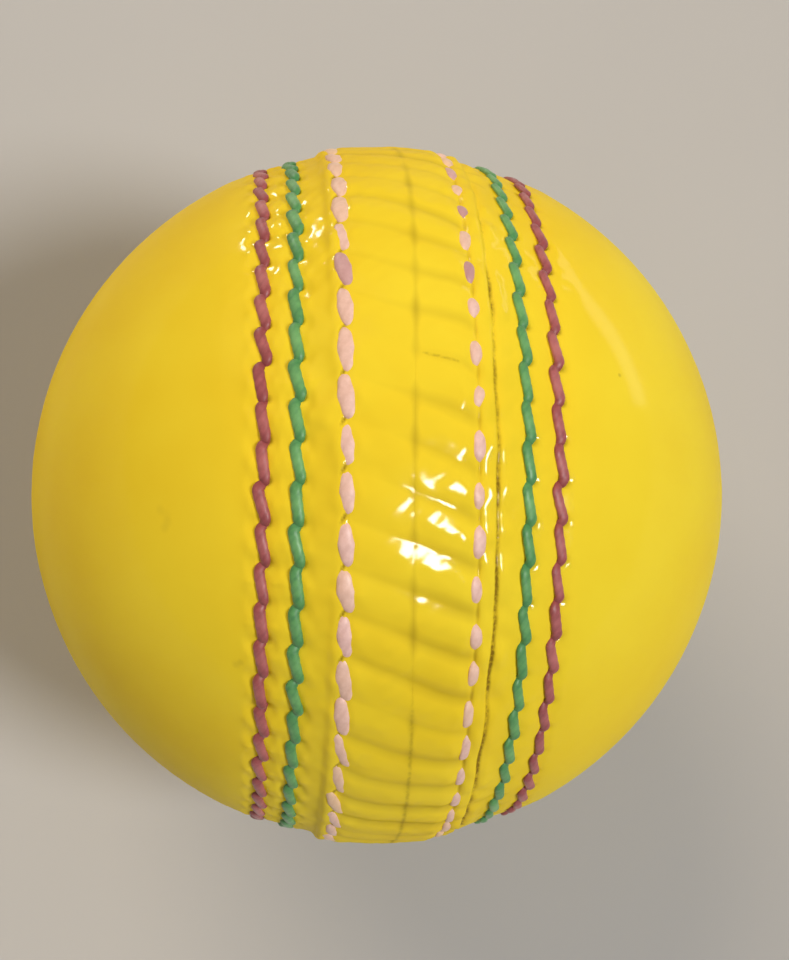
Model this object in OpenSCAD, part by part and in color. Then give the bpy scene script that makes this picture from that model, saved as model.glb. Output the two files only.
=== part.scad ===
// Cricket ball: two leather halves, lined at their rims and sewn together, over a wound cork core.
// The seam axis lies along X, the parting plane is the YZ plane and the ball's centre is the origin.

/* [Ball] */
// Diameter of the smooth leather domes
ball_d = 72; // [68:0.5:74]
// Height of the seam band above the domes
band_height = 0.35; // [0.1:0.05:0.6]
// Half width of the band's crest, from the parting plane
band_half_w = 6.5; // [6.4:0.1:7.2]
// Lean of the band's shoulders away from the radial direction, in degrees
shoulder_lean = 30; // [10:5:45]
// How far the leather is drawn in below the domes at the foot of the band
slope_depth = 0.45; // [0.3:0.05:0.7]
// Distance from the parting plane to where the drawn-in leather meets the dome
slope_end = 14.8; // [14.4:0.1:16]

/* [Leather] */
// Thickness of the cover leather
cover_t = 3.6; // [3.2:0.1:4.2]
// Thickness of the lining strip let into each rim
welt_t = 1.2; // [0.8:0.1:1.5]
// How far the lining strip reaches beyond the outer row
welt_margin = 2.4; // [1.5:0.1:3.5]
// Width of the parting line between the two rims
parting_gap = 0.1; // [0.04:0.02:0.2]
// Gap between pieces that are pressed together
fit_gap = 0.05; // [0.02:0.01:0.08]

/* [Core] */
// Thickness of the outer twine winding
outer_winding_t = 2.6; // [2:0.1:3.4]
// Thickness of the outer cork layer
outer_cork_t = 3; // [2:0.1:4]
// Thickness of the middle twine winding
middle_winding_t = 2.4; // [1.5:0.1:3.4]
// Thickness of the inner cork layer
inner_cork_t = 3; // [2:0.1:4]
// Thickness of the inner twine winding
inner_winding_t = 2.4; // [1.5:0.1:3.4]

/* [Closing seam] */
// Distance of the closing stitches from the parting plane
closing_row = 5.6; // [5.2:0.1:5.8]
// Number of closing stitches on each half, an even number
closing_stitches = 54; // [48:2:60]
// Thickness of a closing stitch at its middle
closing_thread_d = 1.15; // [0.9:0.05:1.2]
// Width of the closing thread where it is squeezed inside its slits
closing_leg_w = 0.52; // [0.44:0.02:0.6]
// Depth of the closing stitches' centre line below the band
closing_sink = 0.35; // [0.2:0.05:0.5]
// Depth of the upper closing thread below that centre line, inside the slits
closing_leg_drop = 0.25; // [0.15:0.05:0.3]
// Sideways lean of a closing stitch, from its middle to its end
closing_lean = 0.12; // [0:0.02:0.2]

/* [Row stitching] */
// Distance of the middle row from the parting plane
middle_row = 9.9; // [9.2:0.1:10.6]
// Distance of the outer row from the parting plane
outer_row = 12.8; // [12.2:0.1:13.4]
// Number of stitches in a row
row_stitches = 60; // [52:1:64]
// Thickness of a row stitch at its middle
row_thread_d = 1; // [0.85:0.05:1.2]
// Width of the thread pair that is squeezed through a stitch slit
row_leg_w = 0.9; // [0.85:0.05:1]
// Height of the threads' bends above the stitches' centre line
bend_rise = 0.2; // [0.1:0.05:0.3]
// Depth of the row stitches' centre line below the leather
row_sink = 0.1; // [0:0.05:0.2]
// Sideways lean of a row stitch, from its middle to its end
row_lean = 0.2; // [0.1:0.02:0.26]
// Thickness of the bobbin thread that locks a row from inside
bobbin_thread_d = 0.6; // [0.5:0.02:0.64]
// Thickness of the needle thread's loop below the bobbin thread
loop_t = 0.3; // [0.2:0.05:0.4]
// Half of the gap between two stitches' tips in a slit
tip_gap = 0.1; // [0.06:0.02:0.16]

/* [Stitch shape] */
// Length over which a stitch narrows at each end
taper_len = 1.1; // [0.6:0.1:1.4]
// Thickness of a stitch's tips
tip_d = 0.36; // [0.2:0.02:0.44]
// Room around a stitch in its furrow
furrow_room = 0.05; // [0.02:0.01:0.15]

/* [Hidden] */
$fn = 40;
dome_fn = 160;

leather = "#f0cf2c";
lining = "#c9ab7a";
cork = "#b98a58";
twine = "#d9cbb0";
closing_pink = "#ebc3be";
row_green = "#4f9d63";
row_maroon = "#9c3f4a";
bobbin_linen = "#e4dccb";

// Radii from the ball's centre
ball_r = ball_d / 2;
band_r = ball_r + band_height;
seat_r = ball_r - cover_t;
recess_r = seat_r + welt_t + fit_gap;
bobbin_r = seat_r - bobbin_thread_d / 2 - fit_gap;

// Distance of the lining strip's inner edge from the parting plane
welt_end = outer_row + welt_margin;

// Core layers, from the seat inwards
winding_3_r = seat_r - fit_gap;
cork_2_r = winding_3_r - outer_winding_t;
winding_2_r = cork_2_r - outer_cork_t;
cork_1_r = winding_2_r - middle_winding_t;
winding_1_r = cork_1_r - inner_cork_t;
core_r = winding_1_r - inner_winding_t;

// Drawn-in slope between the band's foot and the dome, as distances from the seam axis
foot_rho = sqrt(pow(ball_r - slope_depth, 2) - pow(band_half_w, 2));
top_rho = sqrt(pow(ball_r, 2) - pow(slope_end, 2));
crest_rho = sqrt(pow(band_r, 2) - pow(band_half_w, 2));

// How far a cutting shape runs past what it cuts
overrun = 1;

// Rows on the slope: spacing of the slits and the centre lines of the stitches
row_step = 360 / row_stitches;
row_slit_w = row_leg_w + 2 * fit_gap;
middle_line = row_line(middle_row);
outer_line = row_line(outer_row);

// Closing row: spacing of the slits and the pair of threads that cross inside each one
closing_step = 360 / closing_stitches;
closing_rho = sqrt(pow(band_r, 2) - pow(closing_row, 2)) - closing_sink;
closing_line = [closing_rho, closing_row];
riser_w = closing_leg_w + fit_gap;
cross_offset = riser_w / 2 + fit_gap;
leg_spacing = closing_leg_w + fit_gap;
closing_slit_w = 2 * (cross_offset + riser_w / 2 + fit_gap);
closing_slit_h = leg_spacing + riser_w + 2 * fit_gap;
closing_slit_rho = closing_rho - closing_leg_drop - leg_spacing / 2;
closing_slit_end = closing_row + riser_w / 2 + fit_gap;
closing_length = chord(closing_line, closing_step) - 2 * cross_offset;

// A point of the slope, as [distance from the seam axis, distance from the parting plane]
function slope_point(along) =
    [foot_rho + (top_rho - foot_rho) * (along - band_half_w) / (slope_end - band_half_w), along];

// Centre line of a row, sunk into the slope towards the ball's centre
function row_line(along) =
    let (surface = slope_point(along))
    surface * (1 - row_sink / norm(surface));

// Direction of a row's slits, which point at the ball's centre
function row_tilt(line) = atan2(line[1], line[0]);

// Depth of the bobbin thread below a row's centre line
function bobbin_depth(line) = norm(line) - bobbin_r;

// Straight distance between neighbouring slits, and how far it cuts inside the row's circle
function chord(line, step) = 2 * line[0] * sin(step / 2);
function chord_sag(line, step) = line[0] * (1 - cos(step / 2));

// Length of a row's stitches
function row_length(line) = chord(line, row_step) - 2 * tip_gap;

// Sideways shift of a leaning stitch where it starts to narrow
function lean_shift(lean, length) = lean * (1 - 2 * taper_len / length);

// Half width and depth of the furrow that a row's stitches lie in
function furrow_half_w(thread_d, shift) = thread_d / 2 + shift + furrow_room;
function furrow_depth(line, step, thread_d) = thread_d / 2 + chord_sag(line, step) + furrow_room;

// Turns the Z axis into the seam axis
module about_seam_axis() {
    rotate([90, 0, 90]) children();
}

// Puts children on a line around the seam axis: X along the row, Z out of the surface
module on_line(line, turn, tilt) {
    rotate([0, 0, turn])
        translate([line[0], 0, line[1]])
            rotate([0, -tilt, 0])
                rotate([90, 0, 90])
                    children();
}

// Puts children midway between a slit of a row and the next one
module between_slits(line, step, slit, tilt) {
    mid_line = [line[0] * cos(step / 2), line[1]];
    on_line(mid_line, (slit + 0.5) * step, tilt) children();
}

// A square bar along Z, from one height to another
module bar(width, low, high) {
    translate([-width / 2, -width / 2, low]) cube([width, width, high - low]);
}

// One stitch: a grain along X that narrows to a blunt tip at both ends
module grain(length, thickness) {
    end = length / 2;
    full = end - taper_len;
    r = thickness / 2;
    tip_r = tip_d / 2;
    rotate([0, 90, 0])
        rotate_extrude()
            polygon([[0, -end], [tip_r, -end], [r, -full], [r, full], [tip_r, end], [0, end]]);
}

// Strip of a row's outline, from the ball's centre outwards
module row_strip(line, width) {
    rotate(row_tilt(line)) translate([0, -width / 2]) square([2 * ball_r, width]);
}

// A hollow ball
module shell(outer_r, inner_r) {
    difference() {
        sphere(outer_r, $fn = dome_fn);
        sphere(inner_r, $fn = dome_fn);
    }
}

// Outline of the ball's outside, before it is parted: dome, drawn-in slopes and band
module outside_outline() {
    slope_cut = [
        slope_point(band_half_w),
        slope_point(slope_end + overrun),
        [2 * ball_r, slope_end + overrun],
        [2 * ball_r, band_half_w]
    ];
    shoulder_run = tan(shoulder_lean);
    root_rho = foot_rho - overrun;
    out_rho = band_r + overrun;
    root_w = band_half_w + (crest_rho - root_rho) * shoulder_run;
    out_w = band_half_w + (crest_rho - out_rho) * shoulder_run;
    difference() {
        circle(ball_r, $fn = 2 * dome_fn);
        polygon(slope_cut);
    }
    intersection() {
        circle(band_r, $fn = 2 * dome_fn);
        polygon([[root_rho, 0], [out_rho, 0], [out_rho, out_w], [root_rho, root_w]]);
    }
}

// Outline of the right half's leather
module cover_outline() {
    difference() {
        outside_outline();
        circle(seat_r, $fn = 2 * dome_fn);
        intersection() {
            circle(recess_r, $fn = 2 * dome_fn);
            square([ball_r, welt_end + fit_gap]);
        }
        translate([0, -ball_d]) square([ball_d, ball_d + parting_gap / 2]);
        translate([-ball_d, -ball_d]) square([ball_d, 2 * ball_d]);
        closing_furrow_outline();
        for (line = [middle_line, outer_line])
            row_furrow_outline(line);
    }
}

// Furrow of a row: straight sides, and a floor that is round about the ball's centre
module row_furrow_outline(line) {
    half_w = furrow_half_w(row_thread_d, lean_shift(row_lean, row_length(line)));
    difference() {
        row_strip(line, 2 * half_w);
        circle(norm(line) - furrow_depth(line, row_step, row_thread_d), $fn = 2 * dome_fn);
    }
}

// Furrow of the closing row, turned about the seam axis
module closing_furrow_outline() {
    half_w = furrow_half_w(closing_thread_d, lean_shift(closing_lean, closing_length));
    floor_rho = closing_rho - furrow_depth(closing_line, closing_step, closing_thread_d);
    translate([floor_rho, closing_row - half_w]) square([ball_r, 2 * half_w]);
}

// Outline of the right half's lining strip
module welt_outline() {
    intersection() {
        difference() {
            circle(seat_r + welt_t, $fn = 2 * dome_fn);
            circle(seat_r, $fn = 2 * dome_fn);
        }
        translate([0, parting_gap / 2]) square([ball_r, welt_end - parting_gap / 2]);
    }
}

// Awl slits of one row, cut towards the ball's centre
module row_slits(line) {
    depth = norm(line) - seat_r + overrun;
    for (slit = [0 : row_stitches - 1])
        on_line(line, slit * row_step, row_tilt(line)) bar(row_slit_w, -depth, 0);
}

// Awl slits of the closing seam in the right half, parallel to the seam axis
module closing_slits() {
    for (slit = [0 : closing_stitches - 1])
        rotate([0, 0, slit * closing_step])
            translate([closing_slit_rho - closing_slit_h / 2, -closing_slit_w / 2, 0])
                cube([closing_slit_h, closing_slit_w, closing_slit_end]);
}

// Leather of the right half
module cover() {
    color(leather)
        about_seam_axis()
            difference() {
                rotate_extrude($fn = dome_fn) cover_outline();
                closing_slits();
                row_slits(middle_line);
                row_slits(outer_line);
            }
}

// Lining strip of the right half
module welt() {
    color(lining)
        about_seam_axis()
            difference() {
                rotate_extrude($fn = dome_fn) welt_outline();
                row_slits(middle_line);
                row_slits(outer_line);
            }
}

// Needle thread of a row on the right half: grains outside, loops around the bobbin thread inside
module row_thread(line, lean, shade) {
    length = row_length(line);
    depth = bobbin_depth(line);
    loop_end = depth + bobbin_thread_d / 2 + fit_gap + loop_t;
    tilt = row_tilt(line);
    color(shade)
        about_seam_axis()
            difference() {
                for (slit = [0 : row_stitches - 1]) {
                    on_line(line, slit * row_step, tilt) bar(row_leg_w, -loop_end, bend_rise);
                    between_slits(line, row_step, slit, tilt)
                        rotate([0, 0, atan2(2 * lean, length)]) grain(length, row_thread_d);
                }
                for (slit = [0 : row_stitches - 1])
                    on_line(line, slit * row_step, tilt)
                        translate([0, 0, -depth])
                            rotate([0, 90, 0])
                                cylinder(h = 2 * row_leg_w, d = bobbin_thread_d + 2 * fit_gap, center = true);
            }
}

// Bobbin thread of a row on the right half: a ring inside the lining strip
module row_bobbin(line) {
    color(bobbin_linen)
        about_seam_axis()
            rotate_extrude($fn = dome_fn)
                translate(line * bobbin_r / norm(line)) circle(d = bobbin_thread_d);
}

// One of the two closing threads. It shows on the two halves by turns, and inside each slit it
// crosses under or over the other one.
module closing_thread(order) {
    leg_rho = closing_rho - closing_leg_drop - order * leg_spacing;
    leg_length = 2 * norm([closing_row, cross_offset]);
    leg_turn = atan2(cross_offset, closing_row);
    riser_top = closing_rho - leg_rho + bend_rise;
    color(closing_pink)
        about_seam_axis()
            for (slit = [0 : closing_stitches - 1]) {
                crossing = (slit + order) % 2 == 1 ? 1 : -1;
                on_line([leg_rho, 0], slit * closing_step, 0) {
                    rotate([90, 0, -crossing * leg_turn])
                        bar(closing_leg_w, -leg_length / 2, leg_length / 2);
                    for (end = [-1, 1])
                        translate([end * crossing * cross_offset, end * closing_row, 0])
                            bar(riser_w, -riser_w / 2, riser_top);
                }
                between_slits([closing_rho, crossing * closing_row], closing_step, slit, 0)
                    rotate([0, 0, atan2(2 * closing_lean, closing_length)])
                        grain(closing_length, closing_thread_d);
            }
}

// Outermost winding, with room for the bobbin threads and the loops around them
module wound_outside() {
    groove_w = row_slit_w;
    groove_h = bobbin_thread_d + 2 * (loop_t + 2 * fit_gap);
    color(twine)
        about_seam_axis()
            difference() {
                sphere(winding_3_r, $fn = dome_fn);
                sphere(cork_2_r + fit_gap, $fn = dome_fn);
                for (side = [0, 1], line = [middle_line, outer_line])
                    mirror([0, 0, side])
                        rotate_extrude($fn = dome_fn)
                            rotate(row_tilt(line))
                                translate([bobbin_r, 0]) square([groove_h, groove_w], center = true);
            }
}

// Left half's pieces are the right half's, seen in the parting plane
module on_left() {
    mirror([1, 0, 0]) children();
}

module cork_core() color(cork) sphere(core_r, $fn = dome_fn);
module inner_winding() color(twine) shell(winding_1_r, core_r + fit_gap);
module inner_cork_layer() color(cork) shell(cork_1_r, winding_1_r + fit_gap);
module middle_winding() color(twine) shell(winding_2_r, cork_1_r + fit_gap);
module outer_cork_layer() color(cork) shell(cork_2_r, winding_2_r + fit_gap);
module outer_winding() wound_outside();
module left_cover() on_left() cover();
module right_cover() cover();
module left_welt() on_left() welt();
module right_welt() welt();
module first_closing_thread() closing_thread(0);
module second_closing_thread() closing_thread(1);
module left_middle_row_thread() on_left() row_thread(middle_line, -row_lean, row_green);
module right_middle_row_thread() row_thread(middle_line, row_lean, row_green);
module left_outer_row_thread() on_left() row_thread(outer_line, -row_lean, row_maroon);
module right_outer_row_thread() row_thread(outer_line, row_lean, row_maroon);
module left_middle_row_bobbin_thread() on_left() row_bobbin(middle_line);
module right_middle_row_bobbin_thread() row_bobbin(middle_line);
module left_outer_row_bobbin_thread() on_left() row_bobbin(outer_line);
module right_outer_row_bobbin_thread() row_bobbin(outer_line);

cork_core();
inner_winding();
inner_cork_layer();
middle_winding();
outer_cork_layer();
outer_winding();
left_cover();
right_cover();
left_welt();
right_welt();
first_closing_thread();
second_closing_thread();
left_middle_row_thread();
right_middle_row_thread();
left_outer_row_thread();
right_outer_row_thread();
left_middle_row_bobbin_thread();
right_middle_row_bobbin_thread();
left_outer_row_bobbin_thread();
right_outer_row_bobbin_thread();
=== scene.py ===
"""A yellow cricket ball: two lacquered leather halves, sewn together over a wound cork core.

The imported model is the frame. The leather and the six visible threads are modelled here in finer detail
and stand for their nodes, and everything inside the ball keeps its node and gets a finish.

Lengths are in millimetres until a mesh is made. A place on the ball is an angle around the seam axis, from
+Y towards +Z, and a distance from the parting plane. The distance x is positive on the right half, and the
distance along is positive on the half that it is given for.
"""

import logging
import math
from dataclasses import dataclass
from enum import Enum
from typing import ClassVar

import bpy
import numpy as np
from mathutils import Matrix, Vector


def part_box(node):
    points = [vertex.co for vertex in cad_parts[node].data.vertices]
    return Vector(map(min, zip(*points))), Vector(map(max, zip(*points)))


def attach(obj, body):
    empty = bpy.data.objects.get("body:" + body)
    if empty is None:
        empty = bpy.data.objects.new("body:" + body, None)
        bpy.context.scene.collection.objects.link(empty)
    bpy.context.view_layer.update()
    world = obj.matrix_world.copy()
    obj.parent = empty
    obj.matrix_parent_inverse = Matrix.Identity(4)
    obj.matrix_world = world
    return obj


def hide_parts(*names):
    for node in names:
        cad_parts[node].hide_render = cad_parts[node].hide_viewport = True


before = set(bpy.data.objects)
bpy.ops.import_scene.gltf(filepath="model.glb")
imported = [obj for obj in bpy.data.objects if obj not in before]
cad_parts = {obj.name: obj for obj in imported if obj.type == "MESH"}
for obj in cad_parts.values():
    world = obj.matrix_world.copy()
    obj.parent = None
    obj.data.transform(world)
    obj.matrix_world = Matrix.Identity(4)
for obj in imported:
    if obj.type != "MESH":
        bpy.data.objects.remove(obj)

MM = 0.001
TAU = 2 * math.pi
BODY = "root"
LOG = logging.getLogger("cricket_ball")

Array = np.ndarray
Colour = tuple[float, float, float]
Span = tuple[float, float]
Knots = tuple[Span, ...]
Changes = tuple[Array | float, Array | float, Array | float]
Step = tuple[float, ...]
Material = bpy.types.Material
Piece = bpy.types.Object
Socket = bpy.types.NodeSocket


class Side(Enum):
    """The two halves of the ball, by the sign of X."""

    LEFT = -1
    RIGHT = 1

    @property
    def word(self) -> str:
        """The half's name, as the pieces' names have it."""
        return self.name.lower()


class Slot(Enum):
    """The names of the record's material slots for the new pieces."""

    LEATHER = "yellow_leather"
    PINK = "pink_thread"
    GREEN = "green_thread"
    MAROON = "maroon_thread"


def bell(distance: Array, width: float) -> Array:
    """A smooth bump of height 1, which falls to about a third at its width."""
    return np.exp(-np.square(distance / width))


def ramp(value: Array, ends: Span) -> Array:
    """A smooth step, from 0 at the first end to 1 at the second."""
    share = np.clip((value - ends[0]) / (ends[1] - ends[0]), 0.0, 1.0)
    return share * share * (3.0 - 2.0 * share)


def spin(angle: Array) -> Array:
    """Unit vectors around the seam axis, one for each angle."""
    return np.stack([np.zeros_like(angle), np.cos(angle), np.sin(angle)], axis=-1)


def ball_points(angle: Array, x: Array, radius: float, height: Array) -> Array:
    """Points at a height above a sphere.

    Args:
        angle: Angles around the seam axis.
        x: Distances from the parting plane, measured on the sphere.
        radius: The sphere's radius.
        height: Heights above the sphere.

    Returns:
        Points in millimetres.
    """
    ring_r = np.sqrt(np.maximum(radius**2 - np.square(x), 0.0))
    unit = spin(angle) * ring_r[..., None]
    unit[..., 0] = x
    return unit * ((radius + height) / radius)[..., None]


@dataclass(frozen=True)
class Places:
    """Places on one half: angles around the seam axis, and distances from the parting plane."""

    side: Side
    angle: Array
    along: Array

    @property
    def x(self) -> Array:
        """The distances with their sign."""
        return self.side.value * self.along


class Ripple:
    """A seeded, smooth unevenness over the ball: a sum of waves that close around the seam axis."""

    def __init__(self, seed: int, waves: int, most_per_turn: int, length: float) -> None:
        """Draws the waves.

        Args:
            seed: Seed of the draw.
            waves: How many waves are summed.
            most_per_turn: The most crests a wave has around the ball.
            length: The shortest wave across the seam, in millimetres.
        """
        draw = np.random.default_rng(seed)
        self.turns = draw.integers(1, most_per_turn + 1, waves)
        self.across = draw.uniform(-1.0, 1.0, waves) * TAU / length
        self.start = draw.uniform(0.0, TAU, waves)
        self.scale = math.sqrt(2.0 / waves)

    def over(self, at: Places, stretch: float = 1.0) -> Array:
        """The unevenness at some places, mostly between -1 and 1, after a stretch of their distances."""
        x, waves = stretch * at.x, zip(self.turns, self.across, self.start)
        return self.scale * sum(np.cos(turn * at.angle + slant * x + start) for turn, slant, start in waves)


# How uneven the leather is, from its waves and slow swells to the fine runs of the lacquer.
WAVES = Ripple(seed=5, waves=14, most_per_turn=40, length=4.0)
SWELLS = Ripple(seed=6, waves=10, most_per_turn=9, length=14.0)
WANDER = Ripple(seed=7, waves=9, most_per_turn=26, length=40.0)
BEADS = Ripple(seed=8, waves=12, most_per_turn=80, length=8.0)
LACQUER_RUNS = Ripple(seed=9, waves=30, most_per_turn=150, length=1.6)

# Where around the seam the folds are deepest, the leather is smoothest and the seam's lower end lies.
DEEPEST = math.radians(138.0)
SMOOTHEST = math.radians(98.0)
LOW_END_TURN = math.radians(170.0)
LOW_END_COSINES = (0.68, 0.95)


def low_end(angle: Array) -> Array:
    """How near places are to the lower end of the seam, from 0 to 1."""
    return ramp(np.cos(angle - LOW_END_TURN), LOW_END_COSINES)


@dataclass(frozen=True)
class BallSize:
    """The ball's own sizes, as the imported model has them."""

    dome_r: float
    band_r: float
    seat_r: float
    recess_r: float
    recess_end: float
    fit_gap: float = 0.05
    half_parting: float = 0.004

    @classmethod
    def from_frame(cls) -> "BallSize":
        """Reads the sizes from the boxes of the nodes.

        Returns:
            The sizes.
        """
        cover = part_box("right_cover")[1] / MM
        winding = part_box("outer_winding")[1] / MM
        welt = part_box("right_welt")[1] / MM
        return cls(
            dome_r=cover.x,
            band_r=cover.z,
            seat_r=winding.x + cls.fit_gap,
            recess_r=welt.z + cls.fit_gap,
            recess_end=welt.x + cls.fit_gap,
        )


@dataclass(frozen=True)
class SewnRow:
    """A row of stitching on one half, with the marks that it leaves in the leather and painted shade in its
    slits and groove.
    """

    side: Side
    ball_r: float
    along: float
    bobbin_along: float
    stitches: int
    seed: int
    pucker: float
    pucker_width: float
    pucker_reach: float = 1.0
    pull: Span = (0.65, 1.35)
    pit_depth: float = 0.3
    pit_length: float = 0.42
    pit_width: float = 0.46
    pit_shade: float = 0.5
    pit_aside: float = 0.0
    pit_before: float = 0.28
    pit_slant: float = 0.0
    line_depth: float = 0.0
    line_width: float = 0.12
    line_shade: float = 2.0

    @property
    def step(self) -> float:
        """The angle between neighbouring slits."""
        return TAU / self.stitches

    @property
    def ring_r(self) -> float:
        """The radius of the row around the seam axis."""
        return math.sqrt(self.ball_r**2 - self.along**2)

    def marks(self, at: Places) -> Changes:
        """How the row draws the leather in.

        Args:
            at: The places.

        Returns:
            The changes in height, in painted shade and grime, and in dirt and painted shade.
        """
        slit = np.rint(at.angle / self.step)
        part = at.angle / self.step - slit
        pull = np.random.default_rng(self.seed).uniform(*self.pull, self.stitches)
        pull_here = pull[slit.astype(int) % self.stitches]
        offset = at.along - self.along
        reach = part * self.step * self.ring_r
        aside = offset - self.pit_aside - self.pit_slant * reach
        pit = bell(reach + self.pit_before, self.pit_length) * bell(aside, self.pit_width)
        swell = -np.cos(TAU * part) * bell(np.abs(offset) - self.pucker_reach, self.pucker_width)
        line = self.line_depth * bell(offset, self.line_width)
        height = pull_here * (self.pucker * swell - self.pit_depth * pit) - line
        # The slits and the groove along the row get painted shade.
        return height, self.pit_shade * pit + self.line_shade * line, 0.0


@dataclass(frozen=True)
class RowPlan:
    """Where the three kinds of row run on each half, as distances from the parting plane."""

    ball_r: float
    closing: float = 5.6
    middle: float = 9.9
    outer: float = 12.8
    closing_stitches: int = 54
    row_stitches: int = 60
    right_stray: float = 0.22
    seeds: tuple[int, int, int] = (31, 32, 33)
    seed_step: int = 10
    closing_marks: ClassVar[dict[str, float]] = dict(
        pucker=0.06, pucker_width=0.55, pucker_reach=1.15, pit_length=0.5, pit_width=0.17, pit_before=0.0
    )
    closing_by_side: ClassVar[dict[Side, dict[str, float]]] = {
        Side.LEFT: dict(pit_depth=0.14, pit_shade=0.85, pit_aside=0.32, pit_slant=0.5, line_depth=0.05),
        Side.RIGHT: dict(pit_depth=0.06, pit_shade=0.12, line_depth=0.09),
    }
    row_by_side: ClassVar[dict[Side, dict[str, float]]] = {
        Side.LEFT: dict(pucker=0.12, pucker_width=0.42, pit_aside=-0.3),
        Side.RIGHT: dict(pucker=0.02, pucker_width=0.5, pit_aside=0.3),
    }

    def rows(self, side: Side) -> list[SewnRow]:
        """The rows of one half.

        Args:
            side: Which half.

        Returns:
            The closing row, the middle row and the outer row.
        """
        seeds = [seed + self.seed_step * side.value for seed in self.seeds]
        stray = self.right_stray if side is Side.RIGHT else 0.0
        marks = {**self.closing_marks, **self.closing_by_side[side]}
        half = side, self.ball_r
        rows = [SewnRow(*half, self.closing, self.closing, self.closing_stitches, seeds[0], **marks)]
        for along, seed in zip((self.middle, self.outer), seeds[1:]):
            marks = self.row_by_side[side]
            rows.append(SewnRow(*half, along + stray, along, self.row_stitches, seed, **marks))
        return rows


@dataclass(frozen=True)
class BandFolds:
    """The slanting folds that the closing stitches draw across the band, with painted shade in their valleys
    and a crack along one of them.
    """

    plan: RowPlan
    depth: float = 0.2
    depth_swing: float = 0.08
    rounding: float = 0.1
    stray: float = 0.07
    seed: int = 23
    pull: Span = (0.55, 1.35)
    slack: float = 0.1
    smooth_slack: float = 0.22
    smooth_reach: float = math.radians(33.0)
    slack_width: float = 2.0
    band_edge: Span = (4.9, 6.2)
    fine_depth: float = 0.035
    fine_per_fold: float = 2.0
    fine_stray: float = 0.35
    fine_patches: Span = (-0.4, 0.9)
    fine_stretch: float = 0.5
    fine_ends: Span = (-2.0, 3.0)
    # How much painted shade the fold valleys get for their depth.
    grime: float = 1.2
    crack_fold: int = 12
    crack_start: Span = (0.6, 1.0)
    crack_end: Span = (3.7, 4.3)
    crack_depth: float = 0.035
    crack_width: float = 0.038
    crack_dirt: float = 0.36

    def turn(self, at: Places) -> Array:
        """Where places lie across the folds: a count of folds, with a valley at every whole number."""
        slant = (at.x + self.plan.closing) / (2 * self.plan.closing) - self.stray * SWELLS.over(at)
        return at.angle * self.plan.closing_stitches / TAU - slant

    def valley(self, turn: Array) -> Array:
        """The depth below round ridges that meet in a narrow valley, from 0 to 1."""
        top, arch = math.hypot(1.0, self.rounding), np.hypot(np.sin(math.pi * turn), self.rounding)
        return (top - arch) / (top - self.rounding)

    def crack(self, at: Places) -> Array:
        """The crack in the lacquer, from 0 to 1."""
        length = ramp(at.x, self.crack_start) * (1.0 - ramp(at.x, self.crack_end))
        return length * bell(self.turn(at) - self.crack_fold, self.crack_width)

    def marks(self, at: Places) -> Changes:
        """What the folds and the crack do to the leather.

        Args:
            at: The places.

        Returns:
            The changes in height, in painted shade and grime, and in dirt and painted shade.
        """
        count = self.plan.closing_stitches
        turn = self.turn(at)
        pull = np.random.default_rng(self.seed).uniform(*self.pull, count)
        strength = pull[np.rint(turn).astype(int) % count]
        depth = self.depth + self.depth_swing * np.cos(at.angle - DEEPEST)
        slack = self.slack + self.smooth_slack * bell(at.angle - SMOOTHEST, self.smooth_reach)
        lean = 1.0 - slack * (1.0 - np.tanh(at.x / self.slack_width))
        fine_turn = self.fine_per_fold * turn + self.fine_stray * WAVES.over(at)
        patches = ramp(SWELLS.over(at, self.fine_stretch), self.fine_patches) * ramp(at.x, self.fine_ends)
        fine = self.fine_depth * patches * self.valley(fine_turn)
        window = 1.0 - ramp(np.abs(at.x), self.band_edge)
        folds = window * (depth * lean * strength * self.valley(turn) + fine)
        crack = self.crack(at)
        # The fold valleys get painted shade, and the crack gets dirt.
        return -folds - self.crack_depth * crack, self.grime * folds, self.crack_dirt * crack


@dataclass(frozen=True)
class PartingLine:
    """The line along which the halves meet, with a soft band of painted shade beside it. It strays from the
    parting plane.
    """

    shift: float = 0.4
    swing: float = 0.5
    waves: int = 3
    turn: float = math.radians(106.5)
    reach: float = 4.5
    depth: float = 0.008
    width: float = 0.22
    # How dark the line itself is, and how much darker it is towards the seam's lower end.
    dirt: float = 0.08
    low_dirt: float = 0.24
    # A soft band of painted shade beside the line.
    shade: float = 0.17
    shade_swing: float = 0.05
    shade_width: float = 0.36

    def stray(self, angle: Array) -> Array:
        """How far the line is from the parting plane."""
        return self.shift - self.swing * np.cos(self.waves * (angle - self.turn))

    def marks(self, at: Places) -> Changes:
        """What the line does to the leather.

        Args:
            at: The places.

        Returns:
            The changes in height, in painted shade and grime, and in dirt and painted shade.
        """
        offset = at.x - self.stray(at.angle)
        line = bell(offset, self.width)
        # The band beside the line is painted shade.
        shade_strength = self.shade + self.shade_swing * WANDER.over(at, stretch=0.0)
        dirt = line * (self.dirt + self.low_dirt * low_end(at.angle))
        return -self.depth * line, shade_strength * bell(offset, self.shade_width), dirt


@dataclass(frozen=True)
class BeadedLip:
    """The beaded edge of the band on the left half."""

    middle: float = 6.45
    width: float = 0.7
    height: float = 0.05

    def marks(self, at: Places) -> Changes:
        """The changes in height, in painted shade and grime, and in dirt and painted shade."""
        lip = bell(at.along - self.middle, self.width)
        return self.height * lip * BEADS.over(at), 0.0, 0.0


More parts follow.
